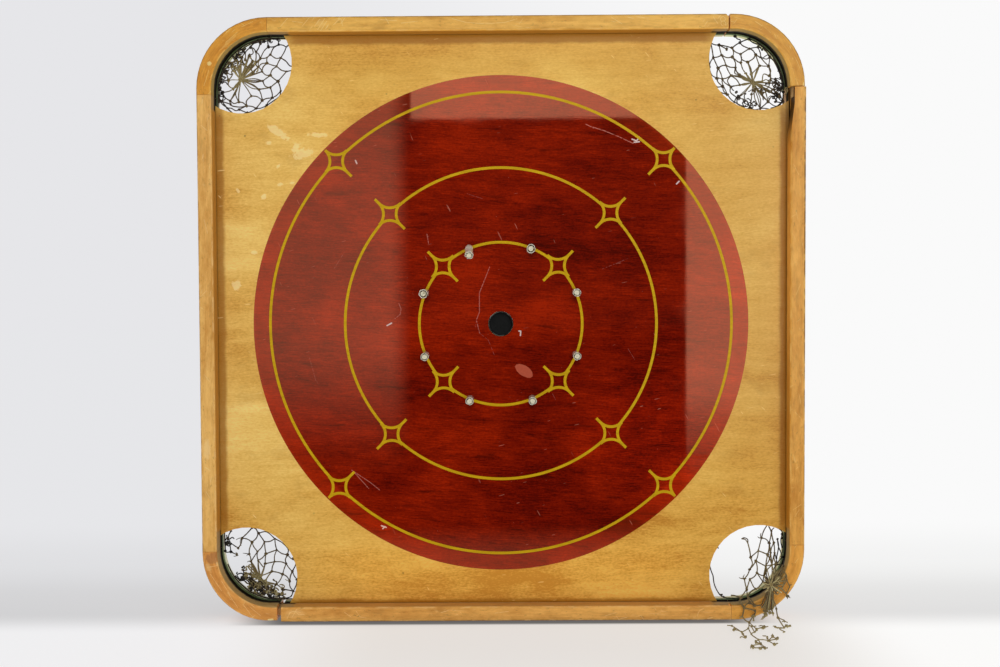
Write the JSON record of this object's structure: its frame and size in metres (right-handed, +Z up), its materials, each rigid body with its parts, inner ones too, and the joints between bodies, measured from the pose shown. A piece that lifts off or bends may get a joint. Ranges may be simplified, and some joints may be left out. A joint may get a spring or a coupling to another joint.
{
  "type": "two-sided pocketed game board",
  "caption": "Square wooden disc-flicking game board in a rounded frame, with a red round field, gold rings, pegs round a centre cup and knotted net pockets at the corners.",
  "frame": {"origin": "middle of the bottom rail's underside, on the surface the board stands on", "axes": "+Z up the board, -Y out of the playing face, +X to the right as seen from the playing side"},
  "size_m": [0.7126, 0.1752, 0.7112],
  "materials": {
    "panel_plywood": "lacquered birch plywood with a deep red round playing area and gold lines",
    "bent_rail_wood": "satin amber varnish, worn",
    "rail_wood": "satin amber varnish, worn and scratched",
    "raw_wood": "bare wood",
    "cup_black": "black, a little glossy, with a worn light rim",
    "peg_cream": "cream, aged",
    "peg_sleeve": "aged clear vinyl tube, greyed",
    "net_twine": "olive-brown knotted twine"
  },
  "bodies": {
    "root": {"bottom_rail": "rail_wood", "centre_cup": "cup_black", "corner_rail_bottom_left": "bent_rail_wood", "corner_rail_bottom_right": "bent_rail_wood", "corner_rail_top_left": "bent_rail_wood", "corner_rail_top_right": "bent_rail_wood", "gather_knot_bottom_left": "net_twine", "gather_knot_bottom_right": "net_twine", "gather_knot_top_left": "net_twine", "gather_knot_top_right": "net_twine", "head_cord_bottom_left": "net_twine", "head_cord_bottom_right": "net_twine", "head_cord_top_left": "net_twine", "head_cord_top_right": "net_twine", "joint_tongue_bottom_rail_left": "raw_wood", "joint_tongue_bottom_rail_right": "raw_wood", "joint_tongue_left_rail_lower": "raw_wood", "joint_tongue_left_rail_upper": "raw_wood", "joint_tongue_right_rail_lower": "raw_wood", "joint_tongue_right_rail_upper": "raw_wood", "joint_tongue_top_rail_left": "raw_wood", "joint_tongue_top_rail_right": "raw_wood", "left_rail": "rail_wood", "playing_panel": "panel_plywood", "pocket_net_bottom_left": "net_twine", "pocket_net_bottom_right": "net_twine", "pocket_net_top_left": "net_twine", "pocket_net_top_right": "net_twine", "right_rail": "rail_wood", "top_rail": "rail_wood", "torn_net_strands": "net_twine"},
    "peg_1": {"peg_1_post": "peg_cream", "peg_1_sleeve": "peg_sleeve"},
    "peg_2": {"peg_2_post": "peg_cream", "peg_2_sleeve": "peg_sleeve"},
    "peg_3": {"peg_3_post": "peg_cream", "peg_3_sleeve": "peg_sleeve"},
    "peg_4": {"peg_4_post": "peg_cream", "peg_4_sleeve": "peg_sleeve"},
    "peg_5": {"peg_5_post": "peg_cream", "peg_5_sleeve": "peg_sleeve"},
    "peg_6": {"peg_6_post": "peg_cream", "peg_6_sleeve": "peg_sleeve"},
    "peg_7": {"peg_7_post": "peg_cream", "peg_7_sleeve": "peg_sleeve"},
    "peg_8": {"peg_8_post": "peg_cream", "peg_8_sleeve": "peg_sleeve"}
  },
  "joints": [
    {"name": "peg_1_pull", "type": "slide", "parent": "root", "child": "peg_1", "axis": [0, -1, 0], "range_m": [0, 0.025]},
    {"name": "peg_2_pull", "type": "slide", "parent": "root", "child": "peg_2", "axis": [0, -1, 0], "range_m": [0, 0.025]},
    {"name": "peg_3_pull", "type": "slide", "parent": "root", "child": "peg_3", "axis": [0, -1, 0], "range_m": [0, 0.025]},
    {"name": "peg_4_pull", "type": "slide", "parent": "root", "child": "peg_4", "axis": [0, -1, 0], "range_m": [0, 0.025]},
    {"name": "peg_5_pull", "type": "slide", "parent": "root", "child": "peg_5", "axis": [0, -1, 0], "range_m": [0, 0.025]},
    {"name": "peg_6_pull", "type": "slide", "parent": "root", "child": "peg_6", "axis": [0, -1, 0], "range_m": [0, 0.025]},
    {"name": "peg_7_pull", "type": "slide", "parent": "root", "child": "peg_7", "axis": [0, -1, 0], "range_m": [0, 0.025]},
    {"name": "peg_8_pull", "type": "slide", "parent": "root", "child": "peg_8", "axis": [0, -1, 0], "range_m": [0, 0.025]}
  ]
}
